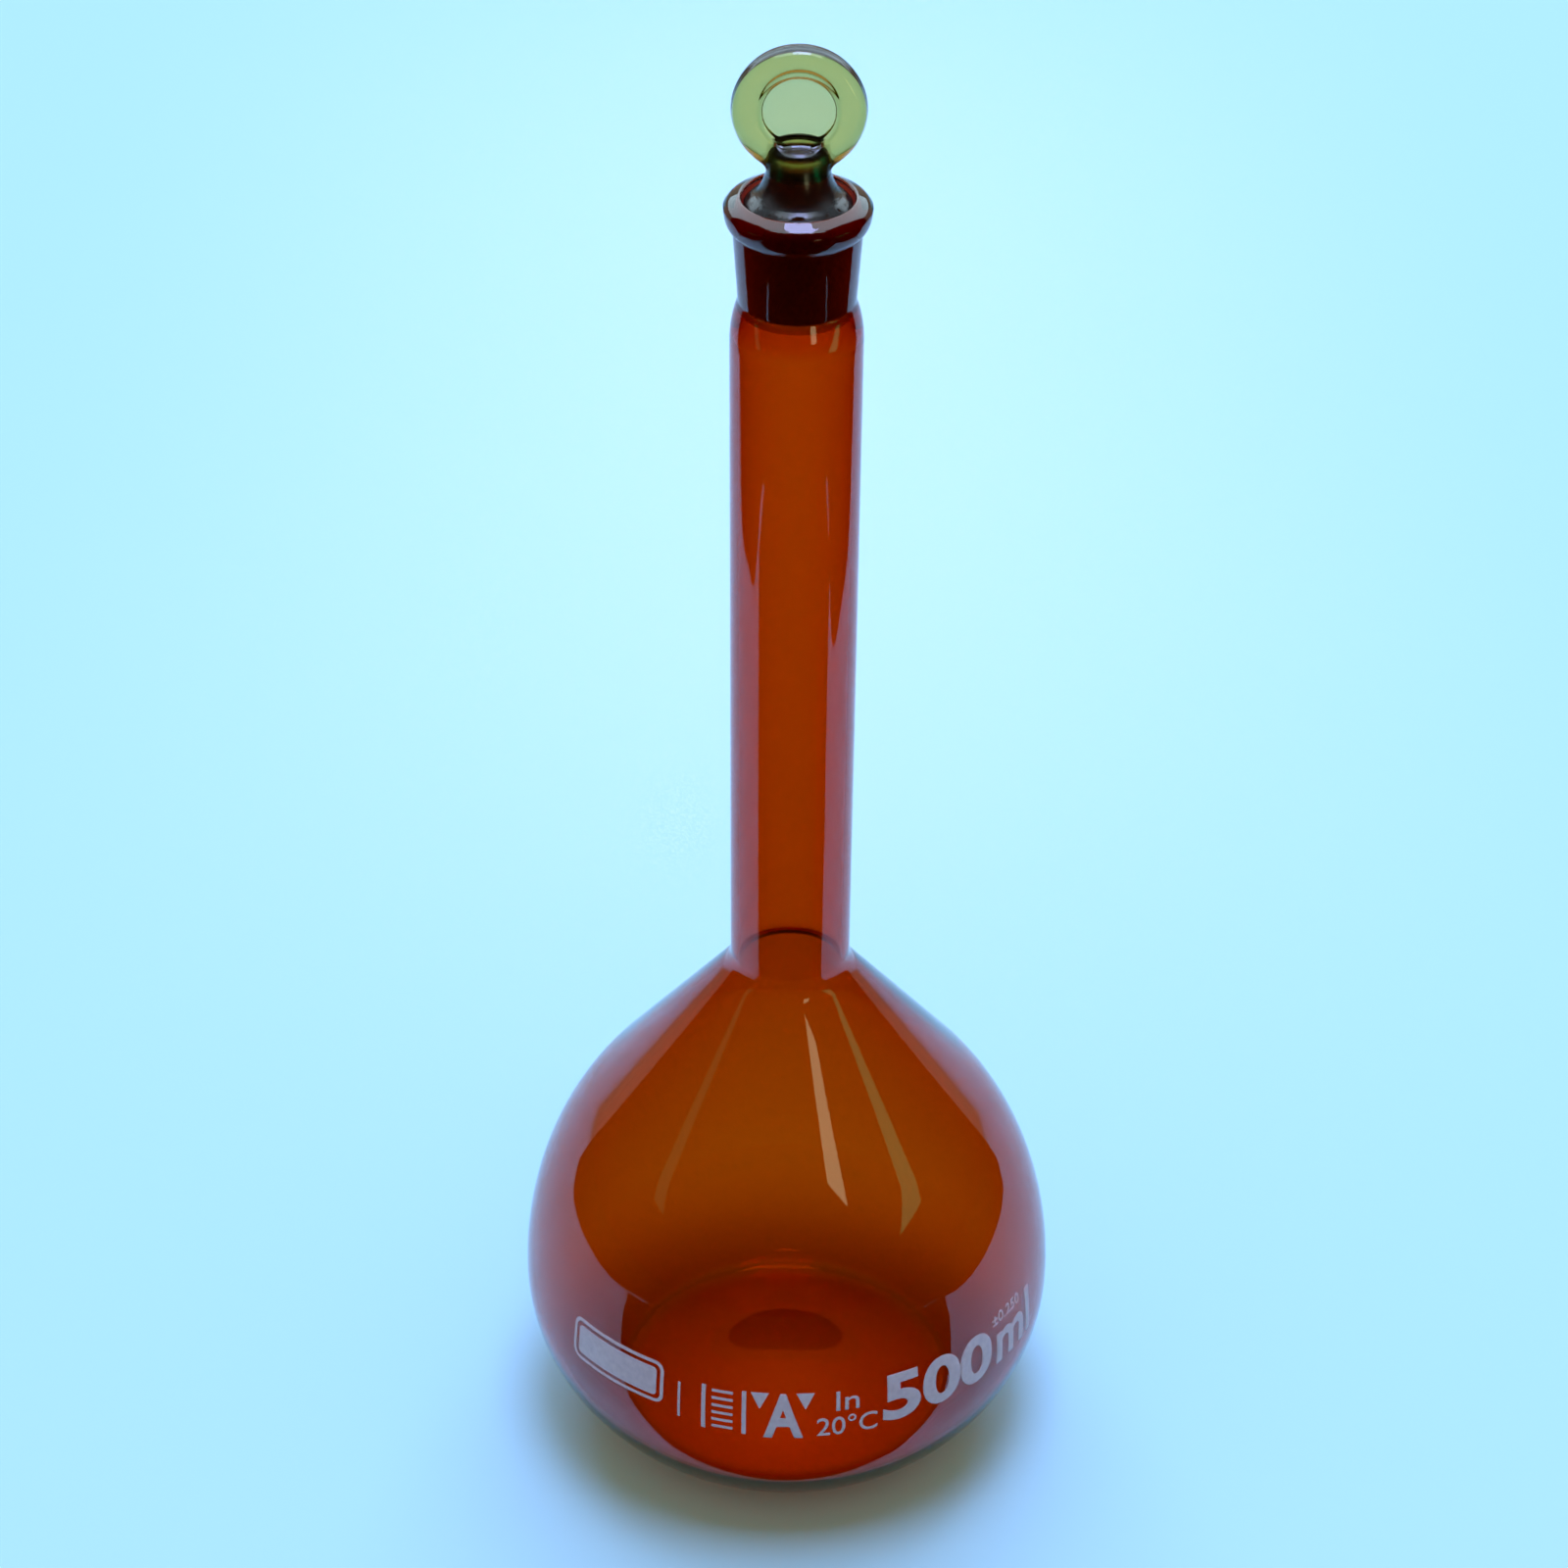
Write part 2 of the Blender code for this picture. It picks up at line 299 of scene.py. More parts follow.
def flask_outline():
    """Closed section of the flask's glass, in two parts: down the outside, then up the inside."""
    outside = filled(neck_and_rim() + bulb_side(), LONGEST_STRETCH)
    underside = []
    for radius in np.linspace(FOOT_INNER_RADIUS, 0.0, 16):
        underside.append((float(radius), base_height(radius)))
    outside += underside
    # The inner wall bends into the inner floor. The first three are shares of INNER_CORNER.
    wall_end, floor_end, bend_corner = 0.55, 0.9, 0.15
    bend_rise = 0.0002
    inner_bulb = offset_inwards(bulb_side())
    inner_bulb = [p for p in inner_bulb if p[1] > BASE_WALL + INNER_CORNER * wall_end]
    wall_radius = inner_bulb[-1][0]
    corner = (wall_radius - INNER_CORNER * bend_corner, BASE_WALL + bend_rise)
    inner_floor = []
    for radius in np.linspace(0.0, wall_radius - INNER_CORNER * floor_end, 14):
        height = base_height(radius) * INNER_PUNT_SHARE + BASE_WALL
        inner_floor.append((float(radius), height))
    bend = []
    bend_steps = 9
    for i in range(1, bend_steps):
        t = i / bend_steps
        bend.append(
            tuple(
                a * (1 - t) ** 2 + b * 2 * t * (1 - t) + c * t**2
                for a, b, c in zip(inner_floor[-1], corner, inner_bulb[-1])
            )
        )
    bore_foot = RIM_HEIGHT - GROUND_LENGTH
    inner_top = [
        (NECK_FOOT_RADIUS - NECK_WALL, NECK_FOOT),
        (NECK_TOP_RADIUS - NECK_WALL, bore_foot - BORE_STEP),
        (bore_radius(bore_foot), bore_foot),
        (BORE_MOUTH_RADIUS, RIM_HEIGHT - MOUTH_ROUND),
    ]
    inside = inner_floor + bend + inner_bulb[::-1]
    neck = filled(rounded(inner_top, BORE_FILLET, 6), LONGEST_STRETCH)[1:]
    mouth_centre = (BORE_MOUTH_RADIUS + MOUTH_ROUND, RIM_HEIGHT - MOUTH_ROUND)
    mouth = arc(mouth_centre, (MOUTH_ROUND, MOUTH_ROUND), math.pi, math.pi / 2, 8)[1:]
    return outside, inside + neck + mouth[:-1]


def turned(name, outline, sides):
    """One closed mesh from a section that starts at the rim, passes the axis twice and comes back."""
    outside, inside = outline
    section = outside + inside
    vertices = []
    rings = []
    for radius, height in section:
        if radius < ON_AXIS:
            rings.append([len(vertices)] * sides)
            vertices.append((0.0, 0.0, height))
            continue
        rings.append(list(range(len(vertices), len(vertices) + sides)))
        for i in range(sides):
            angle = 2 * math.pi * i / sides
            vertices.append((radius * math.cos(angle), radius * math.sin(angle), height))
    faces = []
    for upper, lower in zip(rings, rings[1:] + rings[:1]):
        if upper[0] == upper[1] and lower[0] == lower[1]:
            continue
        for i in range(sides):
            j = (i + 1) % sides
            face = []
            for corner in (upper[i], lower[i], lower[j], upper[j]):
                if corner not in face:
                    face.append(corner)
            faces.append(face)
    mesh = bpy.data.meshes.new(name)
    mesh.from_pydata(vertices, [], faces)
    mesh.shade_smooth()
    obj = bpy.data.objects.new(name, mesh)
    bpy.context.scene.collection.objects.link(obj)
    return obj


# ---------------------------------------------------------------- materials


def new_glass(name, recipe, wave_scale):
    """Clear glass coloured by absorption, with ground faces where the mesh says so."""
    transmitted, density, frost_colour = recipe
    material = bpy.data.materials.new(name)
    material.use_nodes = True
    nodes = material.node_tree.nodes
    links = material.node_tree.links
    shader = nodes["Principled BSDF"]
    shader.inputs["Base Color"].default_value = (1.0, 1.0, 1.0, 1.0)
    shader.inputs["IOR"].default_value = GLASS_IOR
    shader.inputs["Transmission Weight"].default_value = 1.0
    ground = nodes.new("ShaderNodeAttribute")
    ground.attribute_name = "ground"
    rough = nodes.new("ShaderNodeMapRange")
    rough.inputs["To Min"].default_value = POLISHED_ROUGHNESS
    rough.inputs["To Max"].default_value = GROUND_ROUGHNESS
    links.new(ground.outputs["Fac"], rough.inputs["Value"])
    links.new(rough.outputs["Result"], shader.inputs["Roughness"])
    frost = nodes.new("ShaderNodeMix")
    frost.data_type = "RGBA"
    frost.inputs["A"].default_value = (1.0, 1.0, 1.0, 1.0)
    frost.inputs["B"].default_value = frost_colour
    links.new(ground.outputs["Fac"], frost.inputs["Factor"])
    links.new(frost.outputs["Result"], shader.inputs["Base Color"])
    where = nodes.new("ShaderNodeTexCoord")
    stretch = nodes.new("ShaderNodeMapping")
    stretch.inputs["Scale"].default_value = WAVE_STRETCH
    waves = nodes.new("ShaderNodeTexNoise")
    waves.inputs["Scale"].default_value = wave_scale
    waves.inputs["Detail"].default_value = 1.0
    bump = nodes.new("ShaderNodeBump")
    bump.inputs["Strength"].default_value = WAVE_STRENGTH
    bump.inputs["Distance"].default_value = WAVE_HEIGHT
    links.new(where.outputs["Object"], stretch.inputs["Vector"])
    links.new(stretch.outputs["Vector"], waves.inputs["Vector"])
    links.new(waves.outputs["Fac"], bump.inputs["Height"])
    links.new(bump.outputs["Normal"], shader.inputs["Normal"])
    absorb = nodes.new("ShaderNodeVolumeAbsorption")
    absorb.inputs["Color"].default_value = transmitted
    absorb.inputs["Density"].default_value = density
    links.new(absorb.outputs["Volume"], nodes["Material Output"].inputs["Volume"])
    return material


def mark_ground(obj, share):
    """Writes how rough the surface is at each vertex: 0 is polished and 1 is fully ground."""
    attribute = obj.data.attributes.new("ground", "FLOAT", "POINT")
    values = [float(share(v.co)) for v in obj.data.vertices]
    attribute.data.foreach_set("value", values)


# ---------------------------------------------------------------- flask


def make_flask(material):
    """One closed glass body in place of the bulb, the neck tube and the socket."""
    flask = turned("flask_body", flask_outline(), TURNS)
    low = RIM_HEIGHT - GROUND_LENGTH - MARK_MARGIN
    high = RIM_HEIGHT - MOUTH_ROUND - MARK_MARGIN / 2

    def is_ground(point):
        radius = math.hypot(point.x, point.y)
        return low < point.z < high and radius < bore_radius(point.z) + MARK_MARGIN

    mark_ground(flask, is_ground)
    flask.data.materials.append(material)
    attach(flask, "flask")
    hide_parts("bulb", "neck_tube", "ground_socket")


# ---------------------------------------------------------------- enamel print


def enamel():
    """Fired enamel: pale, slightly glossy, a little uneven in tone."""
    material = bpy.data.materials.new("enamel_print")
    material.use_nodes = True
    nodes = material.node_tree.nodes
    links = material.node_tree.links
    shader = nodes["Principled BSDF"]
    shader.inputs["Roughness"].default_value = ENAMEL_ROUGHNESS
    where = nodes.new("ShaderNodeTexCoord")
    grain = nodes.new("ShaderNodeTexNoise")
    grain.inputs["Scale"].default_value = ENAMEL_GRAIN
    grain.inputs["Detail"].default_value = 2.0
    tone = nodes.new("ShaderNodeValToRGB")
    tone.color_ramp.elements[0].color = ENAMEL_DARK
    tone.color_ramp.elements[1].color = ENAMEL_PALE
    bump = nodes.new("ShaderNodeBump")
    bump.inputs["Strength"].default_value = 0.15
    bump.inputs["Distance"].default_value = 0.00003
    links.new(where.outputs["Object"], grain.inputs["Vector"])
    links.new(grain.outputs["Fac"], tone.inputs["Fac"])
    links.new(tone.outputs["Color"], shader.inputs["Base Color"])
    links.new(grain.outputs["Fac"], bump.inputs["Height"])
    links.new(bump.outputs["Normal"], shader.inputs["Normal"])
    return material


def letters(text, weight, box):
    """Flat outlines of the text as a mesh form, stretched to fill the box."""
    curve = bpy.data.curves.new("letters", "FONT")
    curve.body = text
    curve.offset = weight
    curve.resolution_u = 6
    helper = bpy.data.objects.new("letters", curve)
    bpy.context.scene.collection.objects.link(helper)
    graph = bpy.context.evaluated_depsgraph_get()
    mesh = bpy.data.meshes.new_from_object(helper.evaluated_get(graph))
    bpy.data.objects.remove(helper)
    form = bmesh.new()
    form.from_mesh(mesh)
    bpy.data.meshes.remove(mesh)
    across = [v.co.x for v in form.verts]
    along = [v.co.y for v in form.verts]
    left, right, low, high = box
    for v in form.verts:
        v.co.x = left + (v.co.x - min(across)) / (max(across) - min(across)) * (right - left)
        v.co.y = low + (v.co.y - min(along)) / (max(along) - min(along)) * (high - low)
    return form


def shapes(outlines):
    """Flat faces of the given corner points as a mesh form."""
    form = bmesh.new()
    for corners in outlines:
        form.faces.new([form.verts.new((x, y, 0.0)) for x, y in corners])
    return form


def bar(left, right, low, high):
    """Corners of a rectangle."""
    return [(left, low), (right, low), (right, high), (left, high)]


def panel(left, right, low, high, corner):
    """A rectangle with round corners."""
    points = []
    centres = [
        (right - corner, high - corner),
        (left + corner, high - corner),
        (left + corner, low + corner),
        (right - corner, low + corner),
    ]
    for i, centre in enumerate(centres):
        points += arc(centre, (corner, corner), i * math.pi / 2, (i + 1) * math.pi / 2, 8)
    return points


def frame_of(outer, inner):
    """Quads between two outlines with the same number of points."""
    count = len(outer)
    return [
        [outer[i], outer[(i + 1) % count], inner[(i + 1) % count], inner[i]] for i in range(count)
    ]


def printed(name, form, material):
    """Cuts the flat form small, thickens it and wraps it round the front of the bulb."""
    bmesh.ops.remove_doubles(form, verts=form.verts, dist=PRINT_WELD)
    for axis in (0, 1):
        normal = Vector((1.0 - axis, float(axis), 0.0))
        low = min(v.co[axis] for v in form.verts)
        high = max(v.co[axis] for v in form.verts)
        for cut in np.arange(low + PRINT_STEP, high, PRINT_STEP):
            everything = form.verts[:] + form.edges[:] + form.faces[:]
            bmesh.ops.bisect_plane(
                form, geom=everything, dist=PRINT_WELD, plane_co=normal * cut, plane_no=normal
            )
    bmesh.ops.recalc_face_normals(form, faces=form.faces)
    flat = form.faces[:]
    if flat[0].normal.z < 0.0:
        bmesh.ops.reverse_faces(form, faces=flat)
    raised = bmesh.ops.extrude_face_region(form, geom=flat, use_keep_orig=True)
    top = {v for v in raised["geom"] if isinstance(v, bmesh.types.BMVert)}
    bmesh.ops.reverse_faces(form, faces=flat)
    for v in form.verts:
        height = v.co.y
        rise = UPPER_RISE if height > BELLY_HEIGHT else LOWER_RISE
        level = (height - BELLY_HEIGHT) / rise
        out = PRINT_RISE if v in top else -PRINT_RISE
        radius = BULB_RADIUS * math.sqrt(1.0 - level**2) + out
        angle = v.co.x / BULB_RADIUS
        v.co = (radius * math.sin(angle), -radius * math.cos(angle), height)
    mesh = bpy.data.meshes.new(name)
    form.to_mesh(mesh)
    form.free()
    piece = bpy.data.objects.new(name, mesh)
    bpy.context.scene.collection.objects.link(piece)
    mesh.materials.append(material)
    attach(piece, "flask")


def make_print(material):
    """The markings on the bulb. Boxes are left, right, low, high: round the bulb and up it."""
    thin, bold = 0.004, 0.032
    texts = [
        ("print_volume", "500", bold, (0.0184, 0.0440, 0.0318, 0.0426)),
        ("print_unit", "ml", 0.02, (0.0455, 0.0583, 0.0322, 0.0425)),
        ("print_tolerance", "±0.250", 0.01, (0.0446, 0.0540, 0.0415, 0.0439)),
        ("print_contain", "In", thin, (0.0094, 0.0138, 0.0368, 0.0411)),
        ("print_temperature", "20°C", thin, (0.0058, 0.0173, 0.0311, 0.0356)),
        ("print_class", "A", bold, (-0.0041, 0.0033, 0.0309, 0.0412)),
    ]
    for name, text, weight, box in texts:
        printed(name, letters(text, weight, box), material)
    pointer_top, pointer_tip = 0.0413, 0.0377
    pointers = [
        [(-0.0065, pointer_top), (-0.0048, pointer_tip), (-0.0031, pointer_top)],
        [(0.0020, pointer_top), (0.0037, pointer_tip), (0.0054, pointer_top)],
    ]
    printed("print_pointers", shapes(pointers), material)
    bars = [
        bar(-0.0158, -0.0150, 0.0313, 0.0414),
        bar(-0.0081, -0.0073, 0.0313, 0.0413),
        bar(-0.0205, -0.0200, 0.0325, 0.0405),
    ]
    ticks = [bar(-0.0138, -0.0098, z, z + 0.0006) for z in np.linspace(0.0320, 0.0402, 6)]
    printed("print_bars", shapes(bars + ticks), material)
    left, right, low, high = -0.0458, -0.0235, 0.0340, 0.0433
    line = 0.0007
    edge = frame_of(
        panel(left, right, low, high, 0.0020),
        panel(left + line, right - line, low + line, high - line, 0.0013),
    )
    printed("print_write_on_frame", shapes(edge), material)
    inset = 0.0015
    field = panel(left + inset, right - inset, low + inset, high - inset, 0.0009)
    printed("print_write_on_field", shapes([field]), material)


# ---------------------------------------------------------------- stopper


def stopper_section():
    """Half section of plug and post, from the post's top down to the plug's foot."""
    plug_foot = PLUG_TOP - PLUG_LENGTH
    top_radius = bore_radius(PLUG_TOP) - GROUND_GAP
    foot_radius = bore_radius(plug_foot) - GROUND_GAP
    dome = (POST_RADIUS, POST_TOP - POST_FOOT)
    points = arc((0.0, POST_FOOT), dome, math.pi / 2, 0.0, 14)
    flare = (top_radius - POST_RADIUS, POST_FOOT - PLUG_TOP - PLUG_ROUND)
    points += arc((top_radius, POST_FOOT), flare, math.pi, math.pi * 1.5, 14)[1:-1]
    points += [
        (top_radius - PLUG_ROUND, PLUG_TOP + PLUG_ROUND),
        (top_radius, PLUG_TOP),
        (foot_radius, plug_foot + PLUG_ROUND),
        (foot_radius - PLUG_ROUND, plug_foot),
        (0.0, plug_foot),
    ]
    return np.array(points)


def section_distance(section, points):
    """Signed distance of points from the turned solid with this half section."""
    radius = np.hypot(points[:, 0], points[:, 1])
    flat = np.stack([radius, points[:, 2]], axis=1)
    best = np.full(len(points), np.inf)
    crossings = np.zeros(len(points), dtype=int)
    for start, end in zip(section, section[1:]):
        edge = end - start
        offset = flat - start
        share = np.clip(offset @ edge / (edge @ edge), 0.0, 1.0)
        best = np.minimum(best, np.linalg.norm(offset - share[:, None] * edge, axis=1))
        spans = (start[1] > flat[:, 1]) != (end[1] > flat[:, 1])
        rise = np.where(edge[1] == 0.0, 1.0, edge[1])
        crossing = start[0] + (flat[:, 1] - start[1]) / rise * edge[0]
        crossings += spans & (crossing > flat[:, 0])
    return np.where(crossings % 2 == 1, -best, best)


def smooth_union(a, b, width):
    """Distance from two shapes joined, with a fillet of about this width between them."""
    blend = np.clip(0.5 + 0.5 * (b - a) / width, 0.0, 1.0)
    return b * (1 - blend) + a * blend - width * blend * (1 - blend)


def smooth_cut(a, b, width):
    """Distance from shape a with shape b cut out of it, and the cut's edge rounded."""
    return -smooth_union(-a, b, width)


def rounded_box(across, along, half_across, half_along, edge):
    """Distance from a flat rounded rectangle, in two coordinates."""
    dx = np.abs(across) - (half_across - edge)
    dy = np.abs(along) - (half_along - edge)
    outside = np.hypot(np.maximum(dx, 0.0), np.maximum(dy, 0.0))
    return outside + np.minimum(np.maximum(dx, dy), 0.0) - edge


def stopper_distance(points, section):
    """Signed distance of points from the stopper: the dished disc on its post and plug."""
    from_axis = np.hypot(points[:, 0], points[:, 2] - DISC_HEIGHT)
    half = DISC_THICKNESS / 2
    step = np.clip((from_axis - DISC_DISH_RADIUS) / DISC_DISH_STEP + 0.5, 0.0, 1.0)
    depth = DISC_DISH_DEPTH * (1.0 - step * step * (3.0 - 2.0 * step))
    disc = rounded_box(from_axis, np.abs(points[:, 1]) + depth, DISC_RADIUS, half, DISC_EDGE)
    across, up = DIMPLE_PLACE
    dimple_centre = np.array([across, -half + DISC_DISH_DEPTH, DISC_HEIGHT + up])
    dimple = np.linalg.norm(points - dimple_centre, axis=1)
    disc = smooth_cut(disc, dimple - DIMPLE_RADIUS, DIMPLE_BLEND)
    seam = np.hypot(from_axis - DISC_RADIUS + SEAM_DEPTH, points[:, 1]) - SEAM_RADIUS
    disc = smooth_union(disc, seam, SEAM_BLEND)
    plug = section_distance(section, points)
    return smooth_union(disc, plug, POST_BLEND)


def stopper_blank():
    """A rough solid round the stopper, which the distance function then shapes."""
    mesh = bpy.data.meshes.new("stopper_blank")
    form = bmesh.new()
    disc = Matrix.Translation((0.0, 0.0, DISC_HEIGHT)) @ Matrix.Rotation(math.pi / 2, 4, "X")
    bmesh.ops.create_cone(
        form, cap_ends=True, segments=96, radius1=DISC_RADIUS, radius2=DISC_RADIUS,
        depth=DISC_THICKNESS, matrix=disc,
    )
    plug_foot = PLUG_TOP - PLUG_LENGTH
    middle = (PLUG_TOP + plug_foot) / 2
    bmesh.ops.create_cone(
        form, cap_ends=True, segments=96, radius1=bore_radius(plug_foot) - GROUND_GAP,
        radius2=bore_radius(PLUG_TOP) - GROUND_GAP, depth=PLUG_LENGTH,
        matrix=Matrix.Translation((0.0, 0.0, middle)),
    )
    post_length = POST_TOP - PLUG_TOP
    bmesh.ops.create_cone(
        form, cap_ends=True, segments=64, radius1=POST_RADIUS, radius2=POST_RADIUS * 0.8,
        depth=post_length, matrix=Matrix.Translation((0.0, 0.0, PLUG_TOP + post_length / 2)),
    )
    form.to_mesh(mesh)
    form.free()
    blank = bpy.data.objects.new("stopper_blank", mesh)
    bpy.context.scene.collection.objects.link(blank)
    remesh = blank.modifiers.new("Remesh", "REMESH")
    remesh.mode = "VOXEL"
    remesh.voxel_size = BLANK_VOXEL
    graph = bpy.context.evaluated_depsgraph_get()
    result = bpy.data.meshes.new_from_object(blank.evaluated_get(graph))
    bpy.data.objects.remove(blank)
    bpy.data.meshes.remove(mesh)
    return result


def gradient(points, section, step=2e-5):
    """Slope of the stopper's distance function at the points."""
    slopes = []
    for axis in range(3):
        shift = np.zeros(3)
        shift[axis] = step
        ahead = stopper_distance(points + shift, section)
        behind = stopper_distance(points - shift, section)
        slopes.append((ahead - behind) / (2 * step))
    return np.stack(slopes, axis=1)


def make_stopper(material):
    """The blank, with its points moved along the distance function's slope to the surface."""
    mesh = stopper_blank()
    mesh.name = "stopper_body"
    section = stopper_section()
    points = np.empty(len(mesh.vertices) * 3)
    mesh.vertices.foreach_get("co", points)
    points = points.reshape(-1, 3)
    for _ in range(SHAPING_STEPS):
        slope = gradient(points, section)
        size = np.maximum((slope**2).sum(axis=1), LEAST_SLOPE_SQUARED)
        move = stopper_distance(points, section) / size
        move = np.clip(move, -LONGEST_MOVE, LONGEST_MOVE)
        points = points - slope * move[:, None]
    mesh.vertices.foreach_set("co", points.ravel())
    mesh.shade_smooth()
    mesh.update()
    stopper = bpy.data.objects.new("stopper_body", mesh)
    bpy.context.scene.collection.objects.link(stopper)

    def ground_share(point):
        if point.z < PLUG_TOP - MARK_MARGIN:
            return 1.0
        between_faces = abs(point.y) < DISC_THICKNESS / 2 + MARK_MARGIN / 2
        if between_faces and point.z > DISC_POLISHED_FROM:
            return 0.0
        if point.z > ALL_POLISHED_FROM:
            return 0.0
        # Rougher than polished, and darker: the darker tint is painted shade
        return POST_ROUGHNESS_AND_SHADE

    mark_ground(stopper, ground_share)
    mesh.materials.append(material)
    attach(stopper, "stopper")
    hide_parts("stopper")


# ---------------------------------------------------------------- studio


def make_camera():
    data = bpy.data.cameras.new("camera")
    data.lens = CAMERA_LENS
    data.sensor_width = 36.0
    data.clip_start = 0.01
    camera = bpy.data.objects.new("camera", data)
    bpy.context.scene.collection.objects.link(camera)
    tilt = Matrix.Rotation(math.pi / 2 - CAMERA_DOWN, 4, "X")
    roll = Matrix.Rotation(CAMERA_ROLL, 4, "Z")
    camera.matrix_world = Matrix.Translation(CAMERA_PLACE) @ tilt @ roll
    bpy.context.scene.camera = camera


def flat_sheet(name, corners, material):
    """A flat face with these corners, as a piece of the stage."""
    mesh = bpy.data.meshes.new(name)
    mesh.from_pydata(corners, [], [tuple(range(len(corners)))])
    obj = bpy.data.objects.new(name, mesh)
    bpy.context.scene.collection.objects.link(obj)
    mesh.materials.append(material)
    return obj


def matte(name, colour):
    material = bpy.data.materials.new(name)
    material.use_nodes = True
    shader = material.node_tree.nodes["Principled BSDF"]
    shader.inputs["Base Color"].default_value = colour
    shader.inputs["Roughness"].default_value = 0.9
    shader.inputs["Specular IOR Level"].default_value = 0.0
    return material


def make_floor():
    half = FLOOR_HALF
    corners = [(-half, -half), (half, -half), (half, half), (-half, half)]
    corners = [(x, y, -FLOOR_GAP) for x, y in corners]
    flat_sheet("floor", corners, matte("floor_paper", FLOOR_COLOUR))


def in_reflections_only(obj):
    obj.visible_camera = False
    obj.visible_diffuse = False
    obj.visible_transmission = False
    obj.visible_shadow = False
    obj.visible_volume_scatter = False


def make_flags():
    """Black flags round the front, seen only in reflections, as a studio hangs them round glass. The
    black sheet on the floor is painted shade: it stands for the floor in the flask's shadow, as the
    glass mirrors it.
    """
    black = matte("flag_black", (0.0, 0.0, 0.0, 1.0))
    foot = [
        (-0.50, 0.26),
        (-0.325, 0.110),
        (-0.325, -0.010),
        (-0.300, -0.085),
        (-0.320, -0.190),
        (-0.260, -0.250),
        (0.260, -0.250),
        (0.320, -0.200),
        (0.270, -0.090),
        (0.305, 0.020),
        (0.310, 0.130),
        (0.46, 0.26),
    ]
    foot = rounded(foot, FLAG_ROUND, 4)
    for i, (start, end) in enumerate(zip(foot, foot[1:])):
        corners = [(*start, 0.0), (*end, 0.0), (*end, FLAG_HEIGHT), (*start, FLAG_HEIGHT)]
        in_reflections_only(flat_sheet(f"flag_{i}", corners, black))
    # Painted shade: a black sheet on the floor, seen only in reflections, for the shadowed floor in
    # front of the flask
    near_side = [(-0.30, -0.14), (-0.178, -0.089), (-0.10, -0.061)]
    near_side += [(-0.062, -0.050), (-0.030, -0.044)]
    far_side = [(-0.30, -0.25)]
    near_side += [(-x, y) for x, y in reversed(near_side)]
    far_side += [(-x, y) for x, y in far_side]
    corners = [(x, y, FLOOR_GAP) for x, y in near_side + far_side[::-1]]
    in_reflections_only(flat_sheet("painted_shadow_on_floor", corners, black))


def glow(name, colour):
    material = bpy.data.materials.new(name)
    material.use_nodes = True
    nodes = material.node_tree.nodes
    nodes.remove(nodes["Principled BSDF"])
    emission = nodes.new("ShaderNodeEmission")
    emission.inputs["Color"].default_value = colour
    material.node_tree.links.new(
        emission.outputs["Emission"], nodes["Material Output"].inputs["Surface"]
    )
    return material


def make_glows():
    """Painted reflections: glowing sheets that only the glass's reflections see, for a pale ceiling,
    a lamp and two lit walls past the flags.
    """
    ceiling = CEILING_HEIGHT
    # Each sheet glows only in reflections and lights nothing: painted highlights and reflections
    sheets = [
        (
            "ceiling",
            (2.3, 2.9, 3.3, 1.0),
            [
                (-6.0, -0.9, ceiling),
                (6.0, -0.9, ceiling),
                (6.0, 8.0, ceiling),
                (-6.0, 8.0, ceiling),
            ],
        ),
        (
            "lamp",
            (3.0, 3.0, 1.6, 1.0),
            [
                (0.087, -0.20, 0.2195),
                (0.129, -0.20, 0.2195),
                (0.129, -0.20, 0.272),
                (0.087, -0.20, 0.272),
            ],
        ),
        (
            "right_wall_painted_reflection",
            (0.0, 1.20, 0.35, 1.0),
            [
                (0.25, -0.19, 0.150),
                (0.25, -0.10, 0.155),
                (0.25, -0.045, 0.240),
                (0.25, -0.090, 0.240),
            ],
        ),
        (
            "left_wall_painted_reflection",
            (0.0, 0.40, 0.12, 1.0),
            [
                (-0.25, -0.14, 0.155),
                (-0.25, -0.10, 0.155),
                (-0.25, -0.045, 0.240),
                (-0.25, -0.085, 0.240),
            ],
        ),
    ]
    for name, colour, corners in sheets:
        in_reflections_only(flat_sheet(name, corners, glow(name + "_glow", colour)))


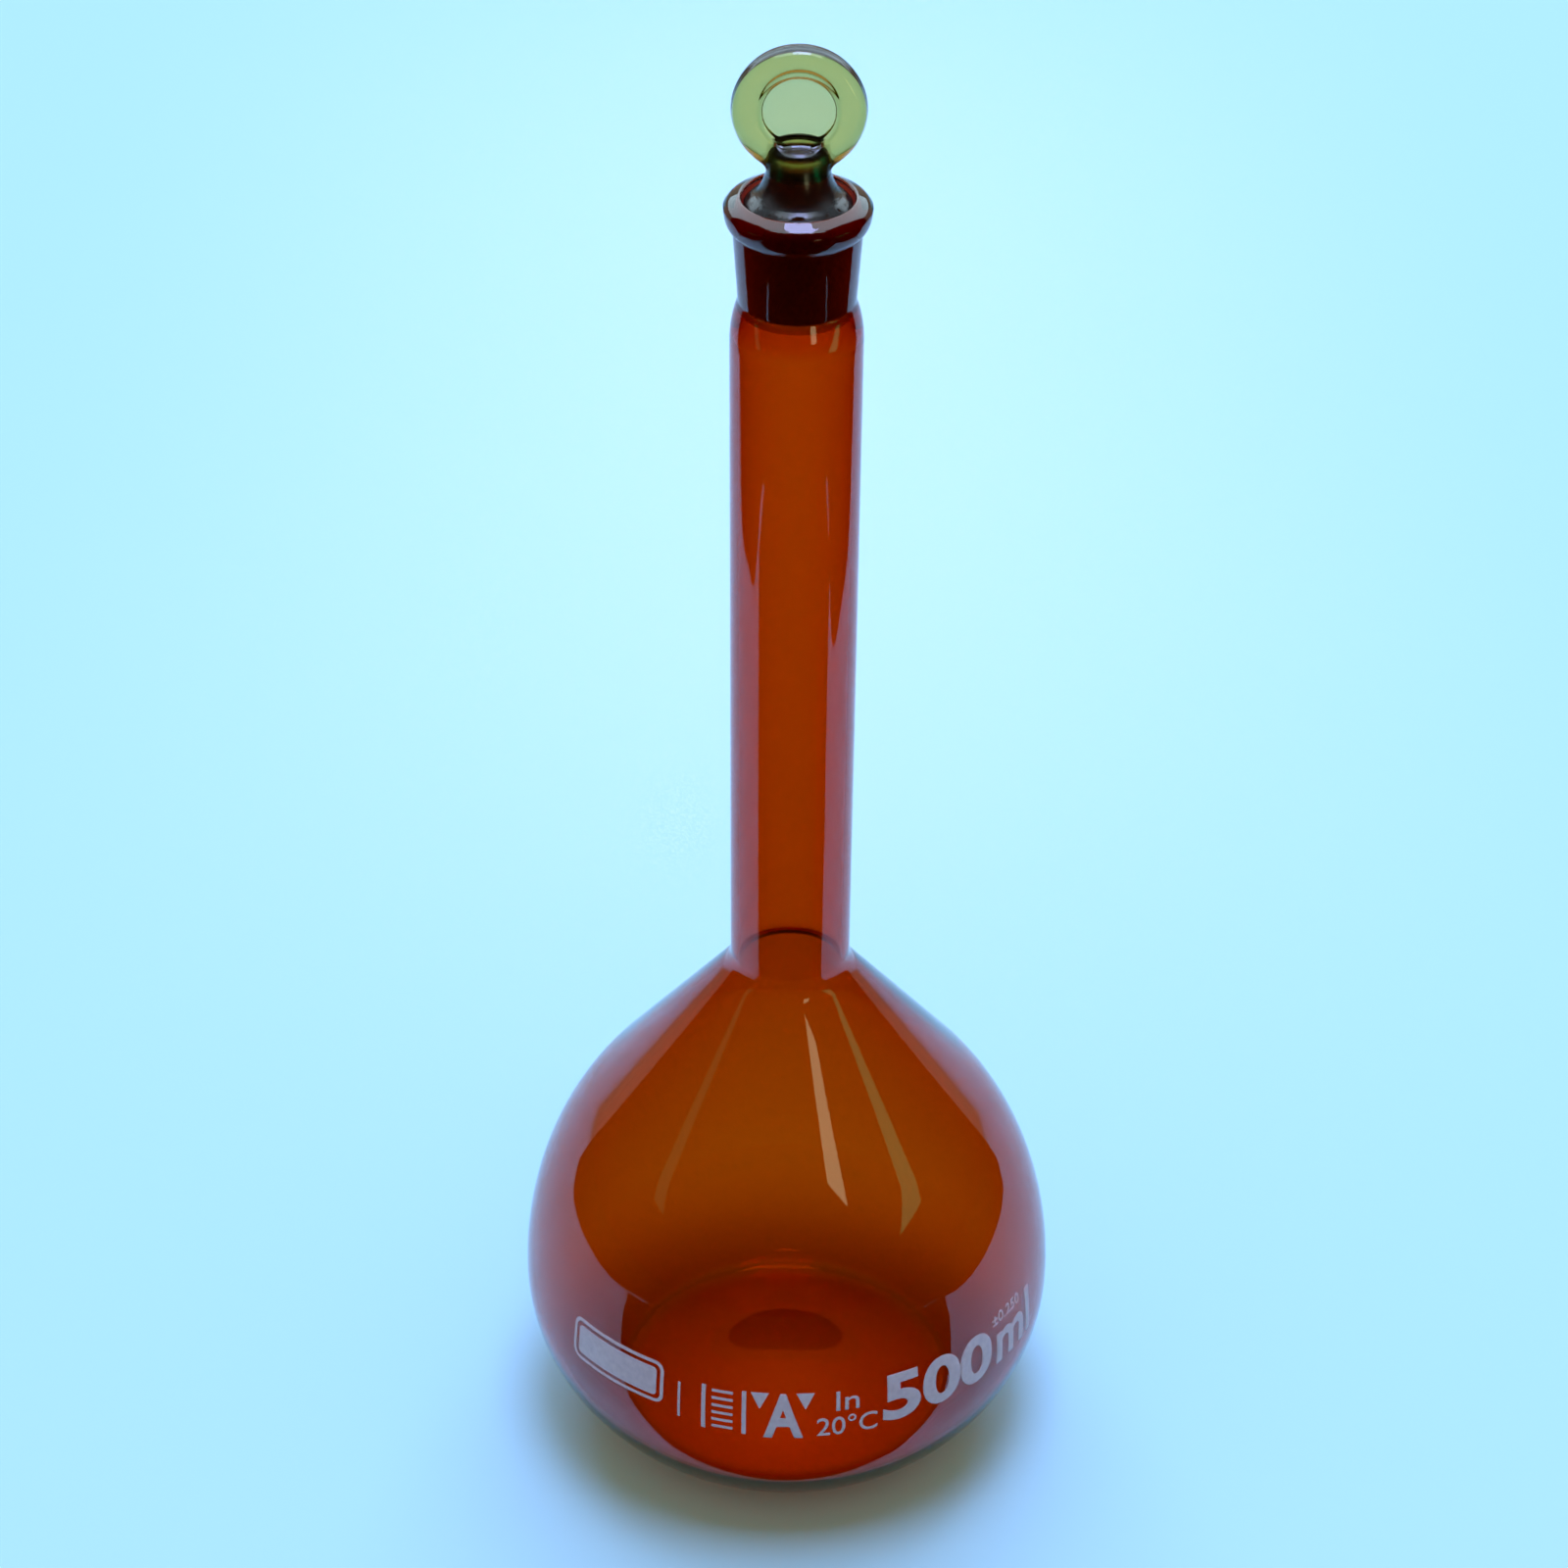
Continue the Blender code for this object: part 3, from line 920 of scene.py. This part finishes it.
def make_painted_caustic():
    """Painted light: a glowing sheet under the bulb, seen only through the glass, in place of the
    light the bulb gathers on the floor.
    """
    reach = PAINTED_CAUSTIC_REACH
    centre = (0.0, PAINTED_CAUSTIC_OFFSET, -FLOOR_GAP / 2)
    material = bpy.data.materials.new("painted_caustic_glow")
    material.use_nodes = True
    nodes = material.node_tree.nodes
    links = material.node_tree.links
    nodes.remove(nodes["Principled BSDF"])
    where = nodes.new("ShaderNodeTexCoord")
    scale = nodes.new("ShaderNodeMapping")
    scale.inputs["Scale"].default_value = (1.0 / reach, 1.0 / reach, 1.0)
    fade = nodes.new("ShaderNodeTexGradient")
    fade.gradient_type = "SPHERICAL"
    emission = nodes.new("ShaderNodeEmission")
    emission.inputs["Color"].default_value = PAINTED_CAUSTIC_COLOUR
    clear = nodes.new("ShaderNodeBsdfTransparent")
    both = nodes.new("ShaderNodeAddShader")
    links.new(where.outputs["Object"], scale.inputs["Vector"])
    links.new(scale.outputs["Vector"], fade.inputs["Vector"])
    links.new(fade.outputs["Fac"], emission.inputs["Strength"])
    links.new(emission.outputs["Emission"], both.inputs[0])
    links.new(clear.outputs["BSDF"], both.inputs[1])
    links.new(both.outputs["Shader"], nodes["Material Output"].inputs["Surface"])
    corners = [(-reach, -reach), (reach, -reach), (reach, reach), (-reach, reach)]
    corners = [(x, y, 0.0) for x, y in corners]
    sheet = flat_sheet("light_under_flask", corners, material)
    sheet.location = centre
    sheet.visible_camera = False
    sheet.visible_diffuse = False
    sheet.visible_glossy = False
    sheet.visible_shadow = False


def area_light(name, place, target, size, power, colour=LIGHT_COLOUR):
    data = bpy.data.lights.new(name, "AREA")
    data.shape = "RECTANGLE"
    data.size, data.size_y = size
    data.energy = power
    data.color = colour
    light = bpy.data.objects.new(name, data)
    bpy.context.scene.collection.objects.link(light)
    light.location = place
    aim = Vector(target) - Vector(place)
    light.rotation_euler = aim.to_track_quat("-Z", "Y").to_euler()
    return light


def make_lights():
    """A top light, fills from behind and in front, and a warm pool on the floor behind.

    Of these, the glass mirrors only the top light.
    """
    area_light("top_light", (0.08, -0.15, 2.0), (0.08, -0.15, 0.0), (0.70, 1.0), 21.5)
    back = area_light("back_light", (0.0, 1.5, 2.0), (0.0, 0.0, 0.1), (2.6, 1.8), 42.0)
    back.visible_glossy = False
    front = area_light("front_light", (0.0, -2.2, 2.2), (0.0, -3.8, 0.0), (3.0, 2.0), 60.0)
    front.data.spread = math.radians(110.0)
    front.visible_glossy = False
    over_pool = (0.0, 0.42, 0.70)
    on_floor = (0.0, 0.42, 0.0)
    pool = area_light("pool_light", over_pool, on_floor, (0.06, 0.50), 0.10, POOL_COLOUR)
    pool.data.spread = math.radians(35.0)
    pool.visible_glossy = False


def make_room():
    """What surrounds the stage: warm dim light, and a pale wall where the camera sees it."""
    world = bpy.data.worlds.new("studio")
    bpy.context.scene.world = world
    world.use_nodes = True
    nodes = world.node_tree.nodes
    links = world.node_tree.links
    room = nodes["Background"]
    room.inputs["Color"].default_value = (*ROOM_COLOUR, 1.0)
    room.inputs["Strength"].default_value = ROOM_STRENGTH
    backdrop = nodes.new("ShaderNodeBackground")
    backdrop.inputs["Color"].default_value = WALL_COLOUR
    path = nodes.new("ShaderNodeLightPath")
    mix = nodes.new("ShaderNodeMixShader")
    links.new(path.outputs["Is Camera Ray"], mix.inputs["Fac"])
    links.new(room.outputs["Background"], mix.inputs[1])
    links.new(backdrop.outputs["Background"], mix.inputs[2])
    links.new(mix.outputs["Shader"], nodes["World Output"].inputs["Surface"])


def set_view():
    scene = bpy.context.scene
    scene.view_settings.view_transform = "Standard"
    scene.cycles.max_bounces = 24
    scene.cycles.transmission_bounces = 24
    scene.cycles.glossy_bounces = 12
    scene.cycles.use_denoising = True


def main():
    amber = new_glass("amber_glass", AMBER, AMBER_WAVES)
    olive = new_glass("olive_glass", OLIVE, OLIVE_WAVES)
    make_camera()
    make_flask(amber)
    make_print(enamel())
    make_stopper(olive)
    make_floor()
    make_flags()
    make_glows()
    make_painted_caustic()
    make_lights()
    make_room()
    set_view()


main()
